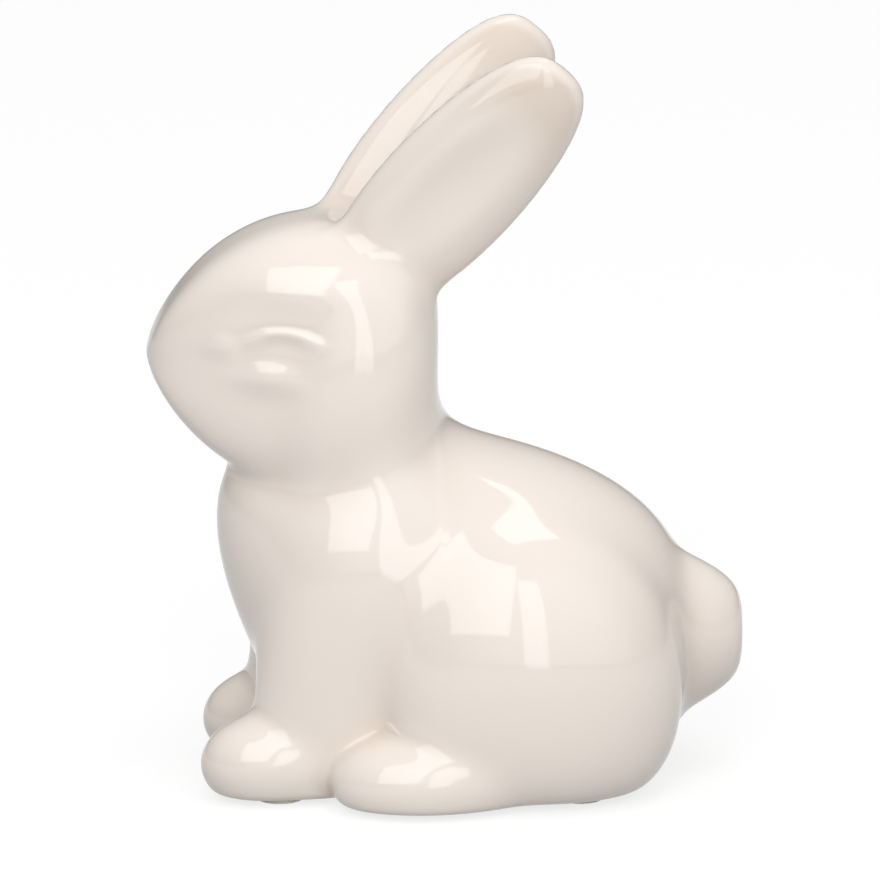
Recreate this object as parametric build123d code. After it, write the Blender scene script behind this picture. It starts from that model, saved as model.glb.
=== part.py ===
from build123d import *
from build123d.topology import SkipClean

import os
from dataclasses import dataclass
from math import copysign, cos, pi, radians, sin, sqrt

# A sitting rabbit, slip-cast in white earthenware and glazed. All sizes are in millimetres.
# It faces -Y, its left side is +X, and Z = 0 is the table under its felt pads.
# Each casting is a rounded form; where two meet, one is cut back from the other and a thin
# bed of fired slip, the lute, fills the gap between them.

# Casting and joining
WALL = 4.0
LUTE = 0.6
NECK_HOLE_DIAMETER = 18.0
POUR_HOLE_DIAMETER = 14.0

# Felt pads under the paws and haunches
PAD_DIAMETER = 10.0
PAD_THICKNESS = 1.0
PAD_BEHIND_PAW = 2.5
PAD_BEHIND_HAUNCH = 9.0

# Torso: the chest end of its axis rises towards the neck, and its underside is cut flat
TORSO_LENGTH = 94.0
TORSO_WIDTH = 56.0
TORSO_HEIGHT = 79.6
TORSO_SINK = 13.6
CHEST_RISE = 26.0
CHEST_POWER = 0.50
RUMP_POWER = 0.38

# Haunches, cast in one with the torso
HAUNCH_LENGTH = 57.4
HAUNCH_WIDTH = 31.0
HAUNCH_HEIGHT = 61.0
HAUNCH_SINK = 7.0
HAUNCH_SPREAD = 37.0
HAUNCH_FROM_BACK = 32.7

# Head: pointed towards the nose, blunt at the nape, bedded in the top of the chest
HEAD_LENGTH = 56.4
HEAD_WIDTH = 45.0
HEAD_HEIGHT = 52.8
HEAD_FROM_CHEST = 14.7
HEAD_SINK = 11.2
NOSE_POWER = 0.65
NAPE_POWER = 0.28
HEAD_TAPER = 0.20

# Eyes: low ovals with closed lids, modelled on the sides of the head
EYE_LENGTH = 10.0
EYE_HEIGHT = 5.0
EYE_THICKNESS = 4.0
EYE_PROUD = 0.9
EYE_FROM_NOSE = 26.5
EYE_ABOVE_HEAD_CENTRE = 5.5

# Ears: leaves that lean back and apart, with a shallow scoop in their outer face
EAR_LENGTH = 67.8
EAR_WIDTH = 26.8
EAR_THICKNESS = 9.6
EAR_LEAN = 41.0
EAR_SPLAY = 11.2
EAR_ROOT_SPREAD = 11.4
EAR_ROOT_BEHIND_HEAD_CENTRE = 7.3
EAR_ROOT_UNDER_CROWN = 17.1
EAR_STAGGER = 2.4
EAR_ROOT_POWER = 0.50
EAR_TIP_POWER = 0.3
SCOOP_DEPTH = 1.4
SCOOP_RIM = 4.0

# Forelegs, each with its paw
LEG_LENGTH = 64.0
LEG_DEPTH = 23.0
LEG_WIDTH = 18.0
LEG_LEAN = 12.4
LEG_SINK = 3.3
LEG_SPREAD = 29.0
LEG_FROM_CHEST = 21.5
LEG_FOOT_POWER = 0.35
PAW_LENGTH = 26.0
PAW_WIDTH = 17.6
PAW_HEIGHT = 19.6
PAW_SINK = 3.6
PAW_AHEAD_OF_LEG = 11.8
PAW_STAGGER = 1.6

# Hind feet, in front of the haunches
FOOT_LENGTH = 37.2
FOOT_WIDTH = 19.0
FOOT_HEIGHT = 20.0
FOOT_SINK = 5.5
FOOT_AHEAD_OF_HAUNCH = 21.4
FOOT_OUTSIDE_HAUNCH = 5.5

# Tail: a round block, widest at the torso
TAIL_LENGTH = 24.0
TAIL_WIDTH = 22.0
TAIL_HEIGHT = 29.6
TAIL_SINK = 14.1
TAIL_CENTRE_HEIGHT = 28.0
TAIL_END_POWER = 0.22
TAIL_HEIGHT_TAPER = -0.2
TAIL_WIDTH_TAPER = -0.1

# An end with this power is round like an ellipsoid's; less is blunter, more is more pointed.
ROUND_END = 0.5
# Oval sections that a form is lofted through, between its two end points
STATIONS = 11


@dataclass
class Egg:
    """A rounded form: oval sections strung along an axis, from a front end to a back end."""

    centre: tuple
    length: float
    height: float
    width: float
    axis: tuple = (0, 1, 0)
    up: tuple = (0, 0, 1)
    front_power: float = ROUND_END
    back_power: float = ROUND_END
    front_rise: float = 0.0
    height_taper: float = 0.0
    width_taper: float = 0.0

    def swell(self, t):
        """How wide the section at t is against the middle one; t runs from -1 to 1 along the axis."""
        power = (self.front_power * (1 - t) + self.back_power * (1 + t)) / 2
        return (1 - t * t) ** power

    def place(self, angle):
        """Where along the axis the outline has turned by an angle, so that blunt ends get close sections."""
        power = self.front_power if angle < pi / 2 else self.back_power
        return -copysign(sqrt(1 - sin(angle) ** (1 / power)), cos(angle))

    def half_height(self, t, grow=0.0):
        return (self.height / 2 + grow) * (1 + self.height_taper * t) * self.swell(t)

    def half_width(self, t, grow=0.0):
        return (self.width / 2 + grow) * (1 + self.width_taper * t) * self.swell(t)

    def lift(self, t):
        """How far the section's centre is above the straight axis."""
        return self.front_rise * ((1 - t) / 2) ** 3

    def top(self, y):
        """Height of the ridge above a point y, for a form that lies along Y."""
        t = (y - self.centre[1]) / (self.length / 2)
        return self.centre[2] + self.lift(t) + self.half_height(t)

    def side(self, y, z):
        """Distance from the middle plane to the side wall at y and z, for a form along Y."""
        t = (y - self.centre[1]) / (self.length / 2)
        height_share = (z - self.centre[2] - self.lift(t)) / self.half_height(t)
        return self.half_width(t) * sqrt(1 - height_share**2)

    def solid(self, grow=0.0, floor=None):
        """The form as a solid, with every half size grown alike, cut flat at the floor's height."""
        along = Vector(*self.axis).normalized()
        upright = Vector(*self.up)
        upright = (upright - along * upright.dot(along)).normalized()
        sideways = along.cross(upright)
        sections = []
        for station in range(STATIONS + 2):
            t = self.place(pi * station / (STATIONS + 1))
            middle = Vector(*self.centre) + along * ((self.length / 2 + grow) * t) + upright * self.lift(t)
            if station in (0, STATIONS + 1):  # the two end points
                sections.append(Vertex(*tuple(middle)))
                continue
            plane = Plane(origin=middle, x_dir=sideways, z_dir=along)
            sections.append(plane * Ellipse(self.half_width(t, grow), self.half_height(t, grow)))
        whole = loft(sections)
        if floor is None:
            return whole
        return split(whole, bisect_by=Plane.XY.offset(floor), keep=Keep.TOP)


def bed(form, host, host_with_lute):
    """Cut a casting back from the one that carries it; give the casting and the lute between them."""
    casting = form - host_with_lute
    lute = (form & host_with_lute) - host
    return casting, lute


def with_parting_line(casting):
    """Keep an edge on the middle plane, where the two halves of the mould met."""
    with SkipClean():
        left_half, right_half = split(casting, bisect_by=Plane.YZ, keep=Keep.BOTH).solids()
        return left_half + right_half


# The castings stand on the pads, and everything under this height is cut away.
base_z = PAD_THICKNESS
# Nose and tail lie equally far from the origin.
length_behind_torso = TAIL_LENGTH - TAIL_SINK
length_ahead_of_torso = HEAD_LENGTH / 2 - HEAD_FROM_CHEST
torso_back = (TORSO_LENGTH + length_ahead_of_torso - length_behind_torso) / 2
chest_y = torso_back - TORSO_LENGTH
sides = {"left": 1, "right": -1}

# Torso and haunches
torso_form = Egg(
    centre=(0, torso_back - TORSO_LENGTH / 2, base_z + TORSO_HEIGHT / 2 - TORSO_SINK),
    length=TORSO_LENGTH,
    height=TORSO_HEIGHT,
    width=TORSO_WIDTH,
    front_power=CHEST_POWER,
    back_power=RUMP_POWER,
    front_rise=CHEST_RISE,
)
haunch_y = torso_back - HAUNCH_FROM_BACK
haunch_x = HAUNCH_SPREAD / 2
haunch_forms = []
for side in sides.values():
    haunch_forms.append(
        Egg(
            centre=(side * haunch_x, haunch_y, base_z + HAUNCH_HEIGHT / 2 - HAUNCH_SINK),
            length=HAUNCH_LENGTH,
            height=HAUNCH_HEIGHT,
            width=HAUNCH_WIDTH,
        )
    )


def body_solid(grow, floor):
    """Torso and both haunches as one form."""
    return torso_form.solid(grow, floor) + [haunch.solid(grow, floor) for haunch in haunch_forms]


body = body_solid(0, base_z)
body_with_lute = body_solid(LUTE, base_z)

# Head, seated on the torso by the depth that it sinks into the chest
head_y = chest_y + HEAD_FROM_CHEST
head_form = Egg(
    centre=(0, head_y, torso_form.top(head_y) - HEAD_SINK + HEAD_HEIGHT / 2),
    length=HEAD_LENGTH,
    height=HEAD_HEIGHT,
    width=HEAD_WIDTH,
    front_power=NOSE_POWER,
    back_power=NAPE_POWER,
    height_taper=HEAD_TAPER,
    width_taper=HEAD_TAPER,
)
head_z = head_form.centre[2]
head_block = head_form.solid()
head_with_lute = head_form.solid(LUTE)

# The hollows, and the hole in the neck through which the slip drained from the head
neck_hole = Pos(0, head_y, head_z) * Cylinder(
    NECK_HOLE_DIAMETER / 2, head_z - torso_form.centre[2], align=(Align.CENTER, Align.CENTER, Align.MAX)
)
torso_hollow = body_solid(-WALL, base_z + WALL) - head_form.solid(LUTE + WALL)
pour_hole = Pos(0, torso_form.centre[1], 0) * Cylinder(
    POUR_HOLE_DIAMETER / 2, base_z + 2 * WALL, align=(Align.CENTER, Align.CENTER, Align.MIN)
)

torso = body - head_with_lute - torso_hollow - neck_hole - pour_hole
neck_lute = (body & head_with_lute) - head_block - neck_hole

# Eyes, turned to lie along the side of the head
eye_y = head_y - HEAD_LENGTH / 2 + EYE_FROM_NOSE
eye_z = head_z + EYE_ABOVE_HEAD_CENTRE
eye_half_length = EYE_LENGTH / 2
eye_half_height = EYE_HEIGHT / 2
slope_along = head_form.side(eye_y + eye_half_length, eye_z) - head_form.side(eye_y - eye_half_length, eye_z)
slope_up = head_form.side(eye_y, eye_z + eye_half_height) - head_form.side(eye_y, eye_z - eye_half_height)
eye_x = head_form.side(eye_y, eye_z) + EYE_PROUD - EYE_THICKNESS / 2
head = head_block - head_form.solid(-WALL) - neck_hole
for side in sides.values():
    eye_form = Egg(
        centre=(side * eye_x, eye_y, eye_z),
        length=EYE_LENGTH,
        height=EYE_HEIGHT,
        width=EYE_THICKNESS,
        axis=(side * slope_along, EYE_LENGTH, 0),
        up=(side * slope_up, 0, EYE_HEIGHT),
    )
    head += eye_form.solid()

nodes = {"torso": with_parting_line(torso), "head": with_parting_line(head), "neck_lute": neck_lute}

# Ears
lean = radians(EAR_LEAN)
splay = radians(EAR_SPLAY)
for name, side in sides.items():
    ear_axis = Vector(side * sin(splay), cos(splay) * sin(lean), cos(splay) * cos(lean))
    ear_root = Vector(
        side * EAR_ROOT_SPREAD / 2,
        head_y + EAR_ROOT_BEHIND_HEAD_CENTRE + side * EAR_STAGGER / 2,
        head_z + HEAD_HEIGHT / 2 - EAR_ROOT_UNDER_CROWN,
    )
    ear_middle = ear_root + ear_axis * (EAR_LENGTH / 2)
    ear_up = (0, -cos(lean), sin(lean))
    ear_form = Egg(
        centre=tuple(ear_middle),
        length=EAR_LENGTH,
        height=EAR_WIDTH,
        width=EAR_THICKNESS,
        axis=tuple(ear_axis),
        up=ear_up,
        front_power=EAR_ROOT_POWER,
        back_power=EAR_TIP_POWER,
    )
    outward = Vector(side * cos(splay), -sin(splay) * sin(lean), -sin(splay) * cos(lean))
    scoop_form = Egg(
        centre=tuple(ear_middle + outward * (EAR_THICKNESS - SCOOP_DEPTH)),
        length=EAR_LENGTH - 2 * SCOOP_RIM,
        height=EAR_WIDTH - 2 * SCOOP_RIM,
        width=EAR_THICKNESS,
        axis=tuple(ear_axis),
        up=ear_up,
    )
    ear_block = ear_form.solid() - scoop_form.solid()
    nodes[name + "_ear"], nodes[name + "_ear_lute"] = bed(ear_block, head_block, head_with_lute)

# Forelegs
leg_lean = radians(LEG_LEAN)
leg_half = LEG_LENGTH / 2
leg_y = chest_y + LEG_FROM_CHEST
leg_x = LEG_SPREAD / 2
leg_blocks = {}
legs_with_lute = {}


def paw_y(side):
    """Middle of the paw; the left one stands a little ahead."""
    return leg_y - PAW_AHEAD_OF_LEG - side * PAW_STAGGER / 2


def leg_solid(side, grow):
    """One foreleg with its paw, flat underneath."""
    leg_form = Egg(
        centre=(side * leg_x, leg_y, base_z - LEG_SINK + leg_half * cos(leg_lean)),
        length=LEG_LENGTH,
        height=LEG_DEPTH,
        width=LEG_WIDTH,
        axis=(0, sin(leg_lean), cos(leg_lean)),
        up=(0, 1, 0),
        front_power=LEG_FOOT_POWER,
    )
    paw_form = Egg(
        centre=(side * leg_x, paw_y(side), base_z + PAW_HEIGHT / 2 - PAW_SINK),
        length=PAW_LENGTH,
        height=PAW_HEIGHT,
        width=PAW_WIDTH,
    )
    return leg_form.solid(grow, base_z) + paw_form.solid(grow, base_z)


for name, side in sides.items():
    leg_blocks[name] = leg_solid(side, 0)
    legs_with_lute[name] = leg_solid(side, LUTE)
    nodes[name + "_foreleg"], nodes[name + "_foreleg_lute"] = bed(leg_blocks[name], body, body_with_lute)

# Hind feet, bedded against the haunch and the foreleg in front of it
for name, side in sides.items():
    foot_form = Egg(
        centre=(
            side * (haunch_x + FOOT_OUTSIDE_HAUNCH),
            haunch_y - FOOT_AHEAD_OF_HAUNCH,
            base_z + FOOT_HEIGHT / 2 - FOOT_SINK,
        ),
        length=FOOT_LENGTH,
        height=FOOT_HEIGHT,
        width=FOOT_WIDTH,
    )
    foot_block = foot_form.solid(floor=base_z)
    carrier = body + leg_blocks[name]
    carrier_with_lute = body_with_lute + legs_with_lute[name]
    nodes[name + "_hind_foot"], nodes[name + "_hind_foot_lute"] = bed(foot_block, carrier, carrier_with_lute)

# Tail
tail_form = Egg(
    centre=(0, torso_back - TAIL_SINK + TAIL_LENGTH / 2, base_z + TAIL_CENTRE_HEIGHT),
    length=TAIL_LENGTH,
    height=TAIL_HEIGHT,
    width=TAIL_WIDTH,
    back_power=TAIL_END_POWER,
    height_taper=TAIL_HEIGHT_TAPER,
    width_taper=TAIL_WIDTH_TAPER,
)
nodes["tail"], nodes["tail_lute"] = bed(tail_form.solid(), body, body_with_lute)

# Felt pads
pads = []
for side in sides.values():
    paw_pad = (side * leg_x, paw_y(side) + PAD_BEHIND_PAW)
    haunch_pad = (side * haunch_x, haunch_y + PAD_BEHIND_HAUNCH)
    for x, y in (paw_pad, haunch_pad):
        disc = Cylinder(PAD_DIAMETER / 2, PAD_THICKNESS, align=(Align.CENTER, Align.CENTER, Align.MIN))
        pads.append(Pos(x, y, 0) * disc)
nodes["felt_pads"] = Compound(children=pads)

os.makedirs("parts", exist_ok=True)
for name, shape in nodes.items():
    export_step(shape, f"parts/{name}.step")
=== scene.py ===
from math import cos, pi, radians, sin

import bpy
import numpy as np
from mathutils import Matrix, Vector


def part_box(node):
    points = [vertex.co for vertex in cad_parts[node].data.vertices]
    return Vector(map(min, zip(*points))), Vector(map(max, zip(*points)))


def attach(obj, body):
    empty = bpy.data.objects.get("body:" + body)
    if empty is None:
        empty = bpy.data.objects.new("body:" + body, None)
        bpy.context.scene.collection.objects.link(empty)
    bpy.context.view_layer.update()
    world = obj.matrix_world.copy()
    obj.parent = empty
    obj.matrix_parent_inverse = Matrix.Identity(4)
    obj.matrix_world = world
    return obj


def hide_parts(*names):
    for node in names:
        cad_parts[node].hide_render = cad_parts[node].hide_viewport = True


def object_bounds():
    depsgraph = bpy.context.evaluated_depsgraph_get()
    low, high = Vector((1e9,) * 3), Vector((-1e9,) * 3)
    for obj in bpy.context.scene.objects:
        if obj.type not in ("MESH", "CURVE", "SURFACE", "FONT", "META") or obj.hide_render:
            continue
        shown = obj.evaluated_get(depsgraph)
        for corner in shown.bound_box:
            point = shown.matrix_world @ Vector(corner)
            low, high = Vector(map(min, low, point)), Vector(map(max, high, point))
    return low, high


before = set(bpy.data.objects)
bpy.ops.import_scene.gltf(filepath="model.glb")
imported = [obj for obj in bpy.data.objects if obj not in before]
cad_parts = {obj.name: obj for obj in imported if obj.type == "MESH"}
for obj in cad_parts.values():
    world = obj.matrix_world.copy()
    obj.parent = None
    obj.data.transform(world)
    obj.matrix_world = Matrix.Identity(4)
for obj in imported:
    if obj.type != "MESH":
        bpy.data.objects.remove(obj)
cad_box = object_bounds()

# Torso with both haunches: a hollow slip casting in white earthenware, drained through a hole in
# its flat base. Every other casting is stuck to it with slip before the firing. All the castings
# are described here as rounded forms in millimetres, and meshed together further down.
MM = 0.001
SIDES = {"left": 1, "right": -1}
ROUND_END = 0.5
OVAL = 2
CORNERS = np.array([[1, 1, 1], [1, -1, -1], [-1, 1, -1], [-1, -1, 1]], float)
base_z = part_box("torso")[0].z / MM

TORSO_SIZE = (94.0, 79.6, 47.5)
TORSO_CENTRE = (0.0, 1.8, base_z + 26.2)
TORSO_ENDS = (ROUND_END, 0.38)
TORSO_PEAR = -0.22
CHEST_RISE = 26.0
HAUNCH_SIZE = (56.0, 66.0, 30.6)
HAUNCH_PLACE = (18.5, 16.0, base_z + 19.3)
HAUNCH_ENDS = (0.33, ROUND_END)
FLANK_FILLET = 9.0
RUMP_FILLET = 17.0
RUMP_PLACE = 0.0
RUMP_SPREAD = 4.0
BASE_EDGE = 17.0
WIPED_EDGE = 2.5
WALL = 4.0
POUR_HOLE_RADIUS = 7.0

# How finely slopes are sampled, and limits that keep the formulas smooth at an axis and past an end.
SLOPE_REACH = 0.05
FLATTEST = 1e-3
FARTHEST = 60.0
PAST_THE_ENDS = 1.4
PAST_THE_TOP = 1.3
END_SOFTNESS = 0.003
AXIS_SOFTNESS = 1e-9
LEVELLING = 8


def slope_of(distance, points, reach):
    """Value and slope of a distance at some points, from four samples round each of them."""
    samples = [distance(points + reach * corner) for corner in CORNERS]
    slope = sum(sample[:, None] * corner for sample, corner in zip(samples, CORNERS))
    return sum(samples) / len(CORNERS), slope / (len(CORNERS) * reach)


def limited(value, top):
    """A value that levels off smoothly before it reaches the top."""
    return value / (1 + (value / top) ** LEVELLING) ** (1 / LEVELLING)


def rising(value, place, spread):
    """From 0 to 1 as a value passes a place, within about the spread on both sides of it."""
    return 1 / (1 + np.exp((place - value) / spread))


class Form:
    """A rounded form of clay, in millimetres: oval sections along an axis, with a front and a back end.

    The size is its length, height and width. An end's power is 0.5 where it is round, less where it
    is blunt and more where it is pointed. The rise lifts the front end, the taper swells the back,
    the flare only widens it, and the pear narrows the top. A section is oval with square 2 and boxy
    above it, given for both ends, and broad keeps the front end wide.
    """

    def __init__(
        self,
        centre,
        size,
        axis=(0, 1, 0),
        up=(0, 0, 1),
        ends=(ROUND_END, ROUND_END),
        rise=0,
        taper=0,
        flare=0,
        pear=0,
        square=(OVAL, OVAL),
        broad=0,
    ):
        self.centre = np.array(centre, float)
        self.half = np.array(size, float) / 2
        along = np.array(axis, float)
        along /= np.linalg.norm(along)
        upright = np.array(up, float)
        upright -= along * (upright @ along)
        upright /= np.linalg.norm(upright)
        self.frame = np.stack([along, upright, np.cross(along, upright)], 1)
        self.ends = ends
        self.rise = rise
        self.taper = taper
        self.flare = flare
        self.pear = pear
        self.square = square
        self.broad = broad

    def level(self, points):
        """Below zero inside the form, zero on its surface."""
        local = (points - self.centre) @ self.frame / self.half
        t = limited(local[:, 0], PAST_THE_ENDS)
        back = (t + 1) / 2
        front = 1 - back
        high = (local[:, 1] - self.rise / self.half[1] * front**3) / (1 + self.taper * t)
        wide = local[:, 2] / (1 + (self.taper + self.flare) * t)
        if self.pear:
            wide = wide / (1 - self.pear * limited(high, PAST_THE_TOP))
        if self.broad:
            wide = wide * ((1 - t * t) ** 2 + END_SOFTNESS) ** (self.broad * front / 2)
        if self.square == (OVAL, OVAL):
            across = np.sqrt(high**2 + wide**2 + AXIS_SOFTNESS)
        else:
            square = self.square[0] * front + self.square[1] * back
            tall = (high**2 + AXIS_SOFTNESS) ** (square / 2)
            broad = (wide**2 + AXIS_SOFTNESS) ** (square / 2)
            across = (tall + broad) ** (1 / square)
        power = self.ends[0] * front + self.ends[1] * back
        return np.sqrt(across ** (1 / power) + local[:, 0] ** 2) - 1

    def distance(self, points):
        """About the distance to the surface, in millimetres."""
        value, slope = slope_of(self.level, points, SLOPE_REACH)
        return (value / np.linalg.norm(slope, axis=1).clip(FLATTEST)).clip(-FARTHEST, FARTHEST)


def fettled(one, other, fillet):
    """The nearer of two surfaces, with the slip between them sponged to a fillet."""
    share = np.maximum(fillet - np.abs(one - other), 0) / fillet
    return np.minimum(one, other) - share**3 * fillet / 6


def cut_back(one, other, edge):
    """What is left of one surface when another is cut away, with the edge sponged round."""
    return -fettled(-one, other, edge)


def mirrored(place, side):
    """A place on the left of the rabbit, or the same one on its right."""
    return side * place[0], place[1], place[2]


torso_form = Form(TORSO_CENTRE, TORSO_SIZE, ends=TORSO_ENDS, rise=CHEST_RISE, pear=TORSO_PEAR)
haunch_forms = []
for side in SIDES.values():
    haunch_forms.append(Form(mirrored(HAUNCH_PLACE, side), HAUNCH_SIZE, ends=HAUNCH_ENDS))


def body_distance(points):
    """The torso and haunches, with the edge of the base rounded."""
    distance = torso_form.distance(points)
    towards_rump = rising(points[:, 1], RUMP_PLACE, RUMP_SPREAD)
    fillet = FLANK_FILLET + (RUMP_FILLET - FLANK_FILLET) * towards_rump
    for haunch_form in haunch_forms:
        distance = fettled(distance, haunch_form.distance(points), fillet)
    return cut_back(distance, points[:, 2] - base_z + WIPED_EDGE, BASE_EDGE)


# Head: a casting with its neck, flat-sided, pointed at the nose and blunt at the nape, with brows and
# closed eyes modelled on its sides in low relief. It is bedded in slip on the top of the chest.
HEAD_SIZE = (56.4, 52.8, 33.4)
HEAD_CENTRE = (0.0, -30.5, base_z + 86.3)
HEAD_ENDS = (0.65, 0.28)
HEAD_TAPER = 0.2
HEAD_FLARE = 0.15
HEAD_SQUARE = (4.2, 2.4)
HEAD_BROAD = 0.3
NECK_SIZE = (66.0, 28.0, 39.6)
NECK_PLACE = (0.0, -18.8, base_z + 79.0)
NECK_AXIS = (0, 0.2, 1)
NECK_ENDS = (0.6, 0.38)
NECK_SQUARE = (2.8, 2.8)
NECK_FILLET = 6.0
EYE_PLACE = (-33.0, base_z + 90.8)
EYE_HALF_SIZE = (6.2, 3.0)
LID_WIDTH = 0.34
LID_HEIGHT = 0.45
LID_START = 0.1
LID_FADE = 1 / 6
# Each swelling: its place along and up, its reach along and up, and its height.
UNDER_EYE = (-36.2, base_z + 84.8, 6.4, 3.2, 1.0)
BEFORE_EYE = (-44.8, base_z + 90.6, 3.6, 2.6, 0.6)
BROW = (-31.5, base_z + 102.0, 9.5, 3.5, 0.8)

head_form = Form(
    HEAD_CENTRE,
    HEAD_SIZE,
    ends=HEAD_ENDS,
    taper=HEAD_TAPER,
    flare=HEAD_FLARE,
    square=HEAD_SQUARE,
    broad=HEAD_BROAD,
)
neck_form = Form(
    NECK_PLACE, NECK_SIZE, axis=NECK_AXIS, up=(0, 1, 0), ends=NECK_ENDS, square=NECK_SQUARE
)


def face_relief(points):
    """How far the brow, the upper lid and the swellings round the eye stand out of the head."""
    along = (points[:, 1] - EYE_PLACE[0]) / EYE_HALF_SIZE[0]
    above = (points[:, 2] - EYE_PLACE[1]) / EYE_HALF_SIZE[1]
    lid = np.exp(-(((np.hypot(along, above) - 1) / LID_WIDTH) ** 2))
    relief = LID_HEIGHT * lid * rising(above, LID_START, LID_FADE)
    for y, z, reach_along, reach_up, height in (UNDER_EYE, BEFORE_EYE, BROW):
        from_middle = ((points[:, 1] - y) / reach_along) ** 2
        relief = relief + height * np.exp(-from_middle - ((points[:, 2] - z) / reach_up) ** 2)
    return relief


def head_distance(points):
    """The head and neck, with the face."""
    head_and_neck = fettled(head_form.distance(points), neck_form.distance(points), NECK_FILLET)
    return head_and_neck - face_relief(points)


# Ears: two solid leaves of clay that lean back and spread, dished on their outer faces. Each is
# pressed into slip on the crown, the left one a little further back.
EAR_SIZE = (67.8, 26.8, 9.6)
EAR_ROOT = (5.7, -23.2, base_z + 95.6)
EAR_STAGGER = 1.2
EAR_LEAN = radians(41.0)
EAR_SPLAY = radians(11.2)
EAR_ENDS = (ROUND_END, 0.34)
EAR_DISH_SIZE = (44.0, 18.0, 9.6)
EAR_DISH_PLACE = 38.0
EAR_DISH_AHEAD = 1.0
EAR_DISH_ENDS = (0.3, ROUND_END)
EAR_DISH_DEPTH = 1.5
EAR_DISH_EDGE = 2.5

ear_forms = {}
ear_dishes = {}
for name, side in SIDES.items():
    upward = np.array([0, sin(EAR_LEAN), cos(EAR_LEAN)])
    sideways = np.array([side, 0, 0])
    along = sideways * sin(EAR_SPLAY) + upward * cos(EAR_SPLAY)
    outward = sideways * cos(EAR_SPLAY) - upward * sin(EAR_SPLAY)
    forward = np.array([0, -cos(EAR_LEAN), sin(EAR_LEAN)])
    root = np.array(mirrored(EAR_ROOT, side)) + (0, side * EAR_STAGGER, 0)
    middle = root + along * EAR_SIZE[0] / 2
    ear_forms[name] = Form(middle, EAR_SIZE, axis=along, up=forward, ends=EAR_ENDS)
    dish_middle = root + along * EAR_DISH_PLACE + forward * EAR_DISH_AHEAD
    dish_middle = dish_middle + outward * (EAR_SIZE[2] - EAR_DISH_DEPTH)
    ear_dishes[name] = Form(dish_middle, EAR_DISH_SIZE, axis=along, up=forward, ends=EAR_DISH_ENDS)


def ear_distance(points, name):
    """One ear, with the dish in its outer face."""
    return cut_back(ear_forms[name].distance(points), ear_dishes[name].distance(points), EAR_DISH_EDGE)


# Forelegs: solid castings in white earthenware that stand under the chest, each with its paw. They
# are luted along their backs, and the left paw stands a little ahead.
LEG_SIZE = (74.0, 31.0, 21.4)
LEG_PLACE = (12.7, -22.0, base_z + 25.4)
LEG_AXIS = (0, 0.22, 1)
LEG_ENDS = (0.35, 0.41)
LEG_TAPER = 0.1
PAW_SIZE = (26.0, 19.6, 17.6)
PAW_PLACE = (14.5, -35.5, base_z + 6.2)
PAW_STAGGER = 0.8
PAW_FILLET = 6.0

leg_forms = {}
paw_forms = {}
for name, side in SIDES.items():
    leg_forms[name] = Form(
        mirrored(LEG_PLACE, side), LEG_SIZE, axis=LEG_AXIS, up=(0, 1, 0), ends=LEG_ENDS, taper=LEG_TAPER
    )
    paw_place = np.array(mirrored(PAW_PLACE, side)) - (0, side * PAW_STAGGER, 0)
    paw_forms[name] = Form(paw_place, PAW_SIZE)


def leg_distance(points, name):
    """One foreleg with its paw."""
    return fettled(leg_forms[name].distance(points), paw_forms[name].distance(points), PAW_FILLET)


# Hind feet: two small solid castings in white earthenware that lie in front of the haunches. Each is
# luted to its haunch and to the foreleg before it.
FOOT_SIZE = (37.2, 20.0, 19.0)
FOOT_PLACE = (24.0, -5.3, base_z + 4.5)

foot_forms = {name: Form(mirrored(FOOT_PLACE, side), FOOT_SIZE) for name, side in SIDES.items()}

# Tail: a solid round block of white earthenware with an almost upright end. It is luted to the rump
# a little above the base.
TAIL_SIZE = (24.0, 32.0, 22.0)
TAIL_PLACE = (0.0, 46.7, base_z + 27.0)
TAIL_ENDS = (ROUND_END, 0.22)
TAIL_TAPER = -0.2

tail_form = Form(TAIL_PLACE, TAIL_SIZE, ends=TAIL_ENDS, taper=TAIL_TAPER)

# The fired body: the castings are luted, fettled and dipped, so that one skin of glossy warm-white
# glaze runs over all of them. It is meshed whole, and then parted along the joints of the castings.
LEG_FILLET = 10.5
LEG_GAP_FILLET = 3.0
FOOT_FILLET = 6.0
EAR_FILLET = 6.0
TAIL_FILLET = 5.0
THROAT_FILLET = 5.5
NAPE_FILLET = 18.0
NAPE_PLACE = -14.8
NAPE_SPREAD = 4.0
HOLE_EDGE = 1.5
HOLLOW_EDGE = 6.0
MESH_STEP = 0.8
NET_MARGIN = 2.8
CORNER_CLEARANCE = 0.02
SETTLING_ROUNDS = 2
FACE_PLACE = (-37.0, base_z + 88.0)
FACE_REACH = (16.0, 9.0)
FACE_REFINEMENTS = 1


def casting_distances(points):
    """How far each casting's surface is from some points, before the joints are fettled."""
    found = {"torso": body_distance(points), "head": head_distance(points)}
    found["tail"] = tail_form.distance(points)
    for name in SIDES:
        found[name + "_ear"] = ear_distance(points, name)
        found[name + "_foreleg"] = leg_distance(points, name)
        found[name + "_hind_foot"] = foot_forms[name].distance(points)
    return found


def outer_distance(points):
    """The outside of the fired rabbit, with every joint fettled."""
    found = casting_distances(points)
    legs = fettled(found["left_foreleg"], found["right_foreleg"], LEG_GAP_FILLET)
    skin = fettled(found["torso"], legs, LEG_FILLET)
    head = found["head"]
    for name in SIDES:
        skin = fettled(skin, found[name + "_hind_foot"], FOOT_FILLET)
        head = fettled(head, found[name + "_ear"], EAR_FILLET)
    towards_nape = rising(points[:, 1], NAPE_PLACE, NAPE_SPREAD)
    skin = fettled(skin, head, THROAT_FILLET + (NAPE_FILLET - THROAT_FILLET) * towards_nape)
    skin = fettled(skin, found["tail"], TAIL_FILLET)
    return cut_back(skin, points[:, 2] - base_z, WIPED_EDGE)


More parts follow.
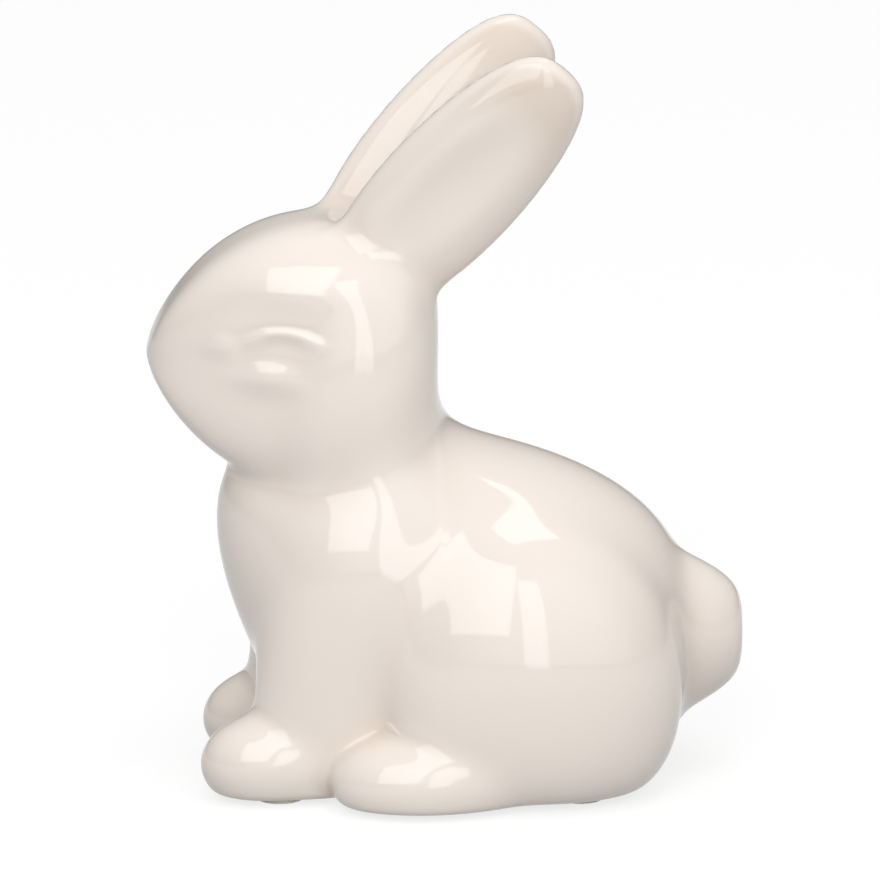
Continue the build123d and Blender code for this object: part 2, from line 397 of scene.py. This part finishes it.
def hollow_distance(points):
    """The drained hollow of the torso, and the pour hole that opens it."""
    room = cut_back(body_distance(points) + WALL, head_distance(points) - WALL, HOLLOW_EDGE)
    room = np.maximum(room, base_z + WALL - points[:, 2])
    hole = np.hypot(points[:, 0], points[:, 1] - TORSO_CENTRE[1]) - POUR_HOLE_RADIUS
    hole = np.maximum(hole, points[:, 2] - base_z - 2 * WALL)
    return fettled(room, hole, HOLE_EDGE)


def skin_distance(points):
    """The outside of the rabbit, less the hollow of its torso."""
    return cut_back(outer_distance(points), hollow_distance(points), HOLE_EDGE)


def net_over(distance, low, high, step):
    """Triangles over the surface where a distance is zero, with one corner in each cell it crosses."""
    block = 4
    counts = np.ceil((high - low) / (block * step)).astype(int)
    starts = np.stack(np.meshgrid(*[np.arange(count) for count in counts], indexing="ij"), -1)
    middles = low + (starts.reshape(-1, 3) * block + (block - 1) / 2) * step
    grid = distance(middles).reshape(counts)
    near = np.abs(grid) < 2 * block * step
    for axis in range(3):
        grid = grid.repeat(block, axis)
        near = near.repeat(block, axis)
    grid[near] = distance(low + np.argwhere(near) * step)
    inside = grid < 0

    cell_corners = [np.array([i, j, k]) for i in (0, 1) for j in (0, 1) for k in (0, 1)]
    last = np.array(grid.shape) - 1
    filled = np.zeros(last, int)
    for corner in cell_corners:
        filled += inside[tuple(slice(c, c + n) for c, n in zip(corner, last))]
    cells = np.argwhere((filled > 0) & (filled < len(cell_corners)))
    number = np.full(last, -1)
    number[tuple(cells.T)] = np.arange(len(cells))
    total = np.zeros((len(cells), 3))
    crossings = np.zeros((len(cells), 1))
    for corner in cell_corners:
        for axis in range(3):
            if corner[axis]:
                continue
            along = np.eye(3, dtype=int)[axis]
            here = grid[tuple((cells + corner).T)]
            there = grid[tuple((cells + corner + along).T)]
            crossed = (here < 0) != (there < 0)
            share = here / np.where(crossed, here - there, 1)
            total[crossed] += (corner + share[:, None] * along)[crossed]
            crossings[crossed] += 1
    points = low + (cells + total / crossings) * step

    quads = []
    for axis in range(3):
        along, second, third = np.roll(np.eye(3, dtype=int), -axis, 0)
        lower = inside[tuple(slice(0, n) if a else slice(1, n) for a, n in zip(along, last))]
        upper = inside[tuple(slice(1, n + 1) if a else slice(1, n) for a, n in zip(along, last))]
        for facing, crossed in ((1, lower & ~upper), (-1, upper & ~lower)):
            cell = np.argwhere(crossed) + (1 - along)
            ring = [cell, cell - second, cell - second - third, cell - third]
            quads.append(np.stack([number[tuple(each.T)] for each in ring], 1)[:, ::facing])
    quads = np.concatenate(quads)
    spans = points[quads]
    first_span = np.linalg.norm(spans[:, 0] - spans[:, 2], axis=1)
    second_span = np.linalg.norm(spans[:, 1] - spans[:, 3], axis=1)
    quads = np.where((first_span < second_span)[:, None], quads, np.roll(quads, 1, 1))
    return points, np.concatenate([quads[:, [0, 1, 2]], quads[:, [0, 2, 3]]])


def finer(points, triangles, chosen):
    """The triangles with every edge between two chosen points halved."""
    edges = np.sort(np.concatenate([triangles[:, pair] for pair in ([0, 1], [1, 2], [2, 0])]), 1)
    edges, place = np.unique(edges, axis=0, return_inverse=True)
    halved = chosen[edges].all(1)
    number = np.where(halved, len(points) + np.cumsum(halved) - 1, -1)
    middle = number[place.ravel()].reshape(3, -1).T
    points = np.concatenate([points, points[edges[halved]].mean(1)])
    count = (middle >= 0).sum(1)
    pieces = [triangles[count == 0]]
    a, b, c = triangles[count == 3].T
    ab, bc, ca = middle[count == 3].T
    pieces += [np.stack(corners, 1) for corners in ((a, ab, ca), (ab, b, bc), (ca, bc, c), (ab, bc, ca))]
    single, middle = triangles[count == 1], middle[count == 1]
    turn = middle.argmax(1)
    rows = np.arange(len(single))
    a, b, c = (single[rows, (turn + step) % 3] for step in range(3))
    ab = middle[rows, turn]
    pieces += [np.stack([a, ab, c], 1), np.stack([ab, b, c], 1)]
    return points, np.concatenate(pieces)


def settled(points, rounds):
    """The points moved onto the skin, with the way that it faces there."""
    for _ in range(rounds):
        value, slope = slope_of(skin_distance, points, SLOPE_REACH)
        points = points - slope * (value / (slope**2).sum(1))[:, None]
    slope = slope_of(skin_distance, points, SLOPE_REACH)[1]
    return points, slope / np.linalg.norm(slope, axis=1, keepdims=True)


def parted(points, triangles, side):
    """The triangles where side is below zero, and the rest, with new points where edges are crossed."""
    chosen = side < 0
    count = chosen[triangles].sum(1)
    halves = {True: [triangles[count == 3]], False: [triangles[count == 0]]}
    mixed = (count == 1) | (count == 2)
    crossed = triangles[mixed]
    lone_is_chosen = count[mixed] == 1
    first = (chosen[crossed] == lone_is_chosen[:, None]).argmax(1)
    rows = np.arange(len(crossed))
    lone, after, before = (crossed[rows, (first + turn) % 3] for turn in range(3))
    edges = np.sort(np.concatenate([np.stack([lone, after], 1), np.stack([lone, before], 1)]), 1)
    edges, place = np.unique(edges, axis=0, return_inverse=True)
    start, end = edges.T
    share = (side[start] / (side[start] - side[end])).clip(CORNER_CLEARANCE, 1 - CORNER_CLEARANCE)
    fresh = points[start] + share[:, None] * (points[end] - points[start])
    place = place.ravel() + len(points)
    to_after, to_before = place[: len(crossed)], place[len(crossed) :]
    for taken in (True, False):
        rows = chosen[lone] == taken
        halves[taken].append(np.stack([lone, to_after, to_before], 1)[rows])
        halves[not taken].append(np.stack([to_after, after, before], 1)[rows])
        halves[not taken].append(np.stack([to_after, before, to_before], 1)[rows])
    return np.concatenate([points, fresh]), np.concatenate(halves[True]), np.concatenate(halves[False])


def closed(points, triangles):
    """Fans over the open edges that parting left, as extra points and triangles."""
    edges = np.concatenate([triangles[:, pair] for pair in ([0, 1], [1, 2], [2, 0])])
    key = edges[:, 0] * len(points) + edges[:, 1]
    twin = edges[:, 1] * len(points) + edges[:, 0]
    following = dict(edges[~np.isin(key, twin)].tolist())
    centres = []
    fans = []
    while following:
        loop = [next(iter(following))]
        while loop[-1] in following:
            loop.append(following.pop(loop[-1]))
        centre = len(points) + len(centres)
        centres.append(points[loop[:-1]].mean(0))
        fans += [(after, before, centre) for before, after in zip(loop, loop[1:])]
    return np.array(centres), np.array(fans)


skin_low = np.array(cad_box[0]) / MM - NET_MARGIN
skin_high = np.array(cad_box[1]) / MM + NET_MARGIN
skin_points, skin_triangles = net_over(skin_distance, skin_low, skin_high, MESH_STEP)
for _ in range(FACE_REFINEMENTS):
    from_face = (skin_points[:, 1:] - FACE_PLACE) / FACE_REACH
    in_face = np.hypot(from_face[:, 0], from_face[:, 1]) < 1
    skin_points, skin_triangles = finer(skin_points, skin_triangles, in_face)
skin_points = settled(skin_points, SETTLING_ROUNDS)[0]

parting_order = [name + kind for kind in ("_hind_foot", "_foreleg") for name in SIDES]
parting_order = ["left_ear", "right_ear", "head", *parting_order, "tail"]
castings = {}
found = casting_distances(skin_points)
depth = outer_distance(skin_points)
for name in parting_order:
    rest = [other for other in found if other != name and other not in castings]
    nearest = np.min([found[other] for other in rest], 0)
    side = np.where(depth < -WALL / 2, WALL, found[name] - nearest)
    fresh_from = len(skin_points)
    skin_points, castings[name], skin_triangles = parted(skin_points, skin_triangles, side)
    fresh = skin_points[fresh_from:]
    for other, more in casting_distances(fresh).items():
        found[other] = np.concatenate([found[other], more])
    depth = np.concatenate([depth, outer_distance(fresh)])
castings["torso"] = skin_triangles
skin_points, skin_facing = settled(skin_points, 1)


def linear(hex_colour):
    """An sRGB hex colour as the linear values that a shader takes."""
    values = [int(hex_colour[place : place + 2], 16) / 255 for place in (1, 3, 5)]
    return [v / 12.92 if v <= 0.04045 else ((v + 0.055) / 1.055) ** 2.4 for v in values] + [1.0]


def add_node(tree, kind, settings=None, **inputs):
    """A node with its settings, and its inputs given as values or as the sockets that feed them."""
    node = tree.nodes.new(kind)
    for key, value in (settings or {}).items():
        setattr(node, key, value)
    for key, value in inputs.items():
        socket = node.inputs[int(key[1:])] if key[1:].isdigit() else node.inputs[key.replace("_", " ")]
        if isinstance(value, bpy.types.NodeSocket):
            tree.links.new(value, socket)
        else:
            socket.default_value = value
    return node


# Glossy earthenware glaze: a clear coat over a white body, fired smooth. The eye sees a warm white,
# sharp reflections with a very faint waviness, and a deeper tone in the hollows: partly glaze pooling and
# partly painted shade.
GLAZE = "#F0E6DD"
# The deeper glaze tone paints shade into the hollows, along with the glaze pooling there.
GLAZE_POOL_AND_SHADE = "#E3D5C8"
GLAZE_IOR = 1.52
GLAZE_ROUGHNESS = 0.06
WAVE_SPACING = 14.0
WAVE_HEIGHT = 0.02

glaze = bpy.data.materials.new("glossy_earthenware_glaze")
glaze.use_nodes = True
tree = glaze.node_tree
surface = tree.nodes["Principled BSDF"]
place = add_node(tree, "ShaderNodeTexCoord").outputs["Object"]
mottle = add_node(tree, "ShaderNodeTexNoise", Vector=place, Scale=1 / (WAVE_SPACING * MM), Detail=2.0)
wave = add_node(
    tree, "ShaderNodeBump", Height=mottle.outputs["Fac"], Strength=1.0, Distance=WAVE_HEIGHT * MM
)
tree.links.new(wave.outputs["Normal"], surface.inputs["Normal"])
# How deep the tone goes: painted shade and glaze pooling in the hollows, worked out from how the skin
# bends.
pool_and_shade = add_node(tree, "ShaderNodeAttribute", {"attribute_name": "glaze_pool_and_painted_shade"})
tone = add_node(
    tree,
    "ShaderNodeMix",
    {"data_type": "RGBA"},
    _0=pool_and_shade.outputs["Fac"],
    _6=linear(GLAZE),
    _7=linear(GLAZE_POOL_AND_SHADE),
)
tree.links.new(tone.outputs[2], surface.inputs["Base Color"])
surface.inputs["Roughness"].default_value = GLAZE_ROUGHNESS
surface.inputs["IOR"].default_value = GLAZE_IOR

# Bare earthenware: the fired body where the glaze was wiped off the base. The eye sees it dull, a
# little darker than the glaze, with a fine grit.
BARE_CLAY = "#DDD0BF"
BARE_CLAY_SHADE = "#CDBEAB"
GRIT = 0.5
GRIT_HEIGHT = 0.1
GRIT_STRENGTH = 0.4
CLAY_ROUGHNESS = 0.85

bare_clay = bpy.data.materials.new("bare_white_earthenware")
bare_clay.use_nodes = True
tree = bare_clay.node_tree
surface = tree.nodes["Principled BSDF"]
place = add_node(tree, "ShaderNodeTexCoord").outputs["Object"]
grit = add_node(tree, "ShaderNodeTexNoise", Vector=place, Scale=1 / (GRIT * MM), Detail=3.0)
grain = add_node(
    tree, "ShaderNodeBump", Height=grit.outputs["Fac"], Strength=GRIT_STRENGTH, Distance=GRIT_HEIGHT * MM
)
tree.links.new(grain.outputs["Normal"], surface.inputs["Normal"])
tone = add_node(
    tree,
    "ShaderNodeMix",
    {"data_type": "RGBA"},
    _0=grit.outputs["Fac"],
    _6=linear(BARE_CLAY),
    _7=linear(BARE_CLAY_SHADE),
)
tree.links.new(tone.outputs[2], surface.inputs["Base Color"])
surface.inputs["Roughness"].default_value = CLAY_ROUGHNESS

# The hollows get a deeper tone, partly glaze pooling and partly painted shade: how much is worked out from
# how the skin bends within a short reach.
POOL_AND_SHADE_REACH = 1.5
POOL_AND_SHADE_GAIN = 3.0
middle_value = skin_distance(skin_points)
around_value = slope_of(skin_distance, skin_points, POOL_AND_SHADE_REACH)[0]
skin_pool_and_shade = np.clip((middle_value - around_value) * POOL_AND_SHADE_GAIN, 0, 1)

GLAZE_LINE = 0.3
for name, triangles in castings.items():
    centres, fans = closed(skin_points, triangles)
    everything = np.concatenate([triangles, fans])
    used, order = np.unique(everything, return_inverse=True)
    order = order.reshape(-1, 3)
    points = np.concatenate([skin_points, centres])[used]
    mesh = bpy.data.meshes.new("glazed_" + name)
    mesh.from_pydata(points * MM, [], order)
    corners = points[order]
    flat = np.cross(corners[:, 1] - corners[:, 0], corners[:, 2] - corners[:, 0])
    flat /= np.linalg.norm(flat, axis=1, keepdims=True).clip(AXIS_SOFTNESS)
    facing = np.concatenate([skin_facing, np.zeros_like(centres)])[everything]
    facing[len(triangles) :] = flat[len(triangles) :, None]
    mesh.polygons.foreach_set("use_smooth", np.ones(len(order), bool))
    wiped = corners[:, :, 2].max(1) < base_z + GLAZE_LINE
    mesh.polygons.foreach_set("material_index", wiped.astype(np.int32))
    mesh.normals_split_custom_set(facing.reshape(-1, 3))
    # Painted shade and glaze pooling in the hollows, stored on the skin's points.
    pool_and_shade_layer = mesh.attributes.new("glaze_pool_and_painted_shade", "FLOAT", "POINT")
    pool_and_shade_here = np.concatenate([skin_pool_and_shade, np.zeros(len(centres))])[used]
    pool_and_shade_layer.data.foreach_set("value", pool_and_shade_here.astype(np.float32))
    mesh.materials.append(glaze)
    mesh.materials.append(bare_clay)
    piece = bpy.data.objects.new("glazed_" + name, mesh)
    bpy.context.scene.collection.objects.link(piece)
    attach(piece, "root")
    lute = "neck_lute" if name == "head" else name + "_lute"
    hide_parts(*[node for node in (name, lute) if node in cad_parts])

# Felt pads: four discs of wool felt, punched from a sheet 1 mm thick and glued under the paws and
# haunches. One disc is made and set out at the four places, each turned its own way.
FELT = "#E9E3DB"
FELT_SHADE = "#D9D1C6"
FIBRE = 0.35
NAP_HEIGHT = 0.15
NAP_STRENGTH = 0.6
FELT_ROUGHNESS = 0.95
PAD_STEPS = {"Vertices": 48, "Side_Segments": 4, "Fill_Segments": 12}
PAD_SIZES = {"Radius": 5.0 * MM, "Thickness": 1.0 * MM, "Fuzz": 0.12 * MM}

felt = bpy.data.materials.new("wool_felt")
felt.use_nodes = True
tree = felt.node_tree
surface = tree.nodes["Principled BSDF"]
place = add_node(tree, "ShaderNodeTexCoord").outputs["Object"]
fibres = add_node(tree, "ShaderNodeTexNoise", Vector=place, Scale=1 / (FIBRE * MM), Detail=4.0)
nap = add_node(
    tree, "ShaderNodeBump", Height=fibres.outputs["Fac"], Strength=NAP_STRENGTH, Distance=NAP_HEIGHT * MM
)
tree.links.new(nap.outputs["Normal"], surface.inputs["Normal"])
tone = add_node(
    tree,
    "ShaderNodeMix",
    {"data_type": "RGBA"},
    _0=fibres.outputs["Fac"],
    _6=linear(FELT),
    _7=linear(FELT_SHADE),
)
tree.links.new(tone.outputs[2], surface.inputs["Base Color"])
surface.inputs["Roughness"].default_value = FELT_ROUGHNESS

cad_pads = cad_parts["felt_pads"]
corners = np.array([cad_pads.matrix_world @ corner.co for corner in cad_pads.data.vertices])
pad_places = []
for right in (False, True):
    for behind in (False, True):
        pad = corners[((corners[:, 0] < 0) == right) & ((corners[:, 1] > 0) == behind)]
        pad_places.append((pad.min(0) + pad.max(0)) / 2)

tree = bpy.data.node_groups.new("felt_pads_set_out", "GeometryNodeTree")
tree.interface.new_socket("Places", in_out="INPUT", socket_type="NodeSocketGeometry")
pad_sockets = {}
for name in PAD_SIZES:
    pad_sockets[name] = tree.interface.new_socket(name, in_out="INPUT", socket_type="NodeSocketFloat")
tree.interface.new_socket("Pads", in_out="OUTPUT", socket_type="NodeSocketGeometry")
given = add_node(tree, "NodeGroupInput").outputs
disc = add_node(
    tree,
    "GeometryNodeMeshCylinder",
    {"fill_type": "TRIANGLE_FAN"},
    Radius=given["Radius"],
    Depth=given["Thickness"],
    **PAD_STEPS,
)
rounded = add_node(tree, "GeometryNodeSubdivisionSurface", Mesh=disc.outputs["Mesh"], Level=1)
wool = add_node(tree, "ShaderNodeTexNoise", Scale=1 / (2 * FIBRE * MM))
times = {"operation": "MULTIPLY"}
scaled = {"operation": "SCALE"}
depth = add_node(tree, "ShaderNodeMath", times, _0=wool.outputs["Fac"], _1=given["Fuzz"])
facing = add_node(tree, "GeometryNodeInputNormal").outputs["Normal"]
inward = add_node(tree, "ShaderNodeVectorMath", scaled, _0=facing, Scale=-1.0).outputs["Vector"]
sunk = add_node(tree, "ShaderNodeVectorMath", scaled, _0=inward, Scale=depth.outputs[0]).outputs["Vector"]
fuzzy = add_node(tree, "GeometryNodeSetPosition", Geometry=rounded.outputs["Mesh"], Offset=sunk)
number = add_node(tree, "GeometryNodeInputIndex")
turn = add_node(tree, "ShaderNodeCombineXYZ", Z=number.outputs["Index"])
pads = add_node(
    tree,
    "GeometryNodeInstanceOnPoints",
    Points=given["Places"],
    Instance=fuzzy.outputs["Geometry"],
    Rotation=turn.outputs["Vector"],
)
solid_pads = add_node(tree, "GeometryNodeRealizeInstances", Geometry=pads.outputs["Instances"])
felted = add_node(tree, "GeometryNodeSetMaterial", Geometry=solid_pads.outputs["Geometry"], Material=felt)
add_node(tree, "NodeGroupOutput", Pads=felted.outputs["Geometry"])

places_mesh = bpy.data.meshes.new("felt_pads_places")
places_mesh.from_pydata(pad_places, [], [])
pad_object = bpy.data.objects.new("felt_pads_cut", places_mesh)
bpy.context.scene.collection.objects.link(pad_object)
setting_out = pad_object.modifiers.new("felt_pads_set_out", "NODES")
setting_out.node_group = tree
for name, size in PAD_SIZES.items():
    setting_out[pad_sockets[name].identifier] = size
made = pad_object.evaluated_get(bpy.context.evaluated_depsgraph_get())
pad_mesh = bpy.data.meshes.new_from_object(made)
pad_object.modifiers.remove(setting_out)
pad_object.data = pad_mesh
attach(pad_object, "root")
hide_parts("felt_pads")

# Studio: a pale floor, a softbox and a strip beside the camera and a softbox overhead. The room gives
# soft light that grows towards its ceiling, and a fill from the camera's side. The camera sees the floor
# white, and the glaze mirrors it white only near the rabbit.
FLOOR_GREY = "#959595"
FLOOR_ROUGHNESS = 0.9
FLOOR_HALF_SIZE = 3.0
FLOOR_LIFT = 0.76
MIRRORED_NEAR = 0.2
MIRRORED_FAR = 1.6
WHITE = (1, 1, 1, 1)

floor_mesh = bpy.data.meshes.new("floor")
floor_turns = ((-1, -1), (1, -1), (1, 1), (-1, 1))
floor_corners = [(x * FLOOR_HALF_SIZE, y * FLOOR_HALF_SIZE, 0) for x, y in floor_turns]
floor_mesh.from_pydata(floor_corners, [], [(0, 1, 2, 3)])
floor = bpy.data.objects.new("floor", floor_mesh)
bpy.context.scene.collection.objects.link(floor)
floor_material = bpy.data.materials.new("white_floor")
floor_material.use_nodes = True
tree = floor_material.node_tree
surface = tree.nodes["Principled BSDF"]
surface.inputs["Base Color"].default_value = linear(FLOOR_GREY)
surface.inputs["Roughness"].default_value = FLOOR_ROUGHNESS
surface.inputs["Specular IOR Level"].default_value = 0.0
light_path = add_node(tree, "ShaderNodeLightPath")
seen = add_node(
    tree,
    "ShaderNodeMath",
    {"operation": "MAXIMUM"},
    _0=light_path.outputs["Is Camera Ray"],
    _1=light_path.outputs["Is Transmission Ray"],
)
place = add_node(tree, "ShaderNodeTexCoord").outputs["Object"]
away = add_node(tree, "ShaderNodeVectorMath", {"operation": "LENGTH"}, _0=place)
fading = add_node(
    tree,
    "ShaderNodeMapRange",
    {"interpolation_type": "SMOOTHSTEP"},
    Value=away.outputs["Value"],
    From_Min=MIRRORED_NEAR,
    From_Max=MIRRORED_FAR,
    To_Min=1.0,
    To_Max=0.0,
)
mirrored_floor = add_node(
    tree,
    "ShaderNodeMath",
    {"operation": "MULTIPLY"},
    _0=light_path.outputs["Is Glossy Ray"],
    _1=fading.outputs["Result"],
)
seen = add_node(
    tree, "ShaderNodeMath", {"operation": "MAXIMUM"}, _0=seen.outputs[0], _1=mirrored_floor.outputs[0]
)
lifted = add_node(tree, "ShaderNodeMath", {"operation": "MULTIPLY"}, _0=seen.outputs[0], _1=FLOOR_LIFT)
surface.inputs["Emission Color"].default_value = WHITE
tree.links.new(lifted.outputs[0], surface.inputs["Emission Strength"])
floor_mesh.materials.append(floor_material)

CAMERA_AZIMUTH = 86.0
CAMERA_ELEVATION = 16.0
CAMERA_DISTANCE = 1.5
CAMERA_TARGET = Vector((0, -0.0012, 0.0682))
PICTURE_WIDTH = 880
PIXELS_PER_MM = 5.09
FRAME_WIDTH = PICTURE_WIDTH / PIXELS_PER_MM * MM


def direction(azimuth, elevation):
    """From the rabbit outwards; azimuth 0 is where its nose points, 90 its left."""
    a = radians(azimuth)
    e = radians(elevation)
    return Vector((sin(a) * cos(e), -cos(a) * cos(e), sin(e)))


WALL_LIGHT = 0.1
CEILING_LIGHT = 0.8
FRONT_LIGHT = 1.2
FRONT_LIGHT_AZIMUTH = 20.0
FRONT_LIGHT_ELEVATION = 4.0
FRONT_LIGHT_REACH = 55.0
world = bpy.data.worlds.new("room")
bpy.context.scene.world = world
world.use_nodes = True
tree = world.node_tree
towards = add_node(tree, "ShaderNodeTexCoord")
height = add_node(tree, "ShaderNodeSeparateXYZ", Vector=towards.outputs["Generated"])
brightness = add_node(
    tree, "ShaderNodeMapRange", Value=height.outputs["Z"], To_Min=WALL_LIGHT, To_Max=CEILING_LIGHT
)
ahead = add_node(
    tree,
    "ShaderNodeVectorMath",
    {"operation": "DOT_PRODUCT"},
    _0=towards.outputs["Generated"],
    _1=direction(CAMERA_AZIMUTH + FRONT_LIGHT_AZIMUTH, FRONT_LIGHT_ELEVATION),
)
fill = add_node(
    tree,
    "ShaderNodeMapRange",
    {"interpolation_type": "SMOOTHSTEP"},
    Value=ahead.outputs["Value"],
    From_Min=cos(radians(FRONT_LIGHT_REACH)),
    To_Max=FRONT_LIGHT,
)
total = add_node(
    tree, "ShaderNodeMath", {"operation": "ADD"}, _0=brightness.outputs["Result"], _1=fill.outputs["Result"]
)
tree.links.new(total.outputs[0], tree.nodes["Background"].inputs["Strength"])
tree.nodes["Background"].inputs["Color"].default_value = WHITE

SOFTBOX_DISTANCE = 1.0
SOFTBOX_AIM = Vector((0, 0, 0.07))
# Each lamp: degrees right of the camera, elevation, width and height in metres, and radiance.
SOFTBOXES = {
    "left_softbox": (-16.5, 28.0, 0.56, 0.72, 2.4),
    "right_strip": (9.0, 14.0, 0.17, 0.80, 2.2),
    "overhead_softbox": (51.0, 76.0, 0.56, 0.22, 2.7),
}
for name, (right_of_camera, elevation, width, height, radiance) in SOFTBOXES.items():
    lamp = bpy.data.lights.new(name, "AREA")
    lamp.shape = "RECTANGLE"
    lamp.size = width
    lamp.size_y = height
    lamp.energy = radiance * pi * width * height
    softbox = bpy.data.objects.new(name, lamp)
    outward = direction(CAMERA_AZIMUTH + right_of_camera, elevation)
    softbox.location = SOFTBOX_AIM + outward * SOFTBOX_DISTANCE
    softbox.rotation_euler = outward.to_track_quat("Z", "Y").to_euler()
    bpy.context.scene.collection.objects.link(softbox)

camera_data = bpy.data.cameras.new("camera")
camera_data.lens = camera_data.sensor_width * CAMERA_DISTANCE / FRAME_WIDTH
camera = bpy.data.objects.new("camera", camera_data)
outward = direction(CAMERA_AZIMUTH, CAMERA_ELEVATION)
camera.location = CAMERA_TARGET + outward * CAMERA_DISTANCE
camera.rotation_euler = outward.to_track_quat("Z", "Y").to_euler()
bpy.context.scene.collection.objects.link(camera)
bpy.context.scene.camera = camera
bpy.context.scene.view_settings.view_transform = "Standard"
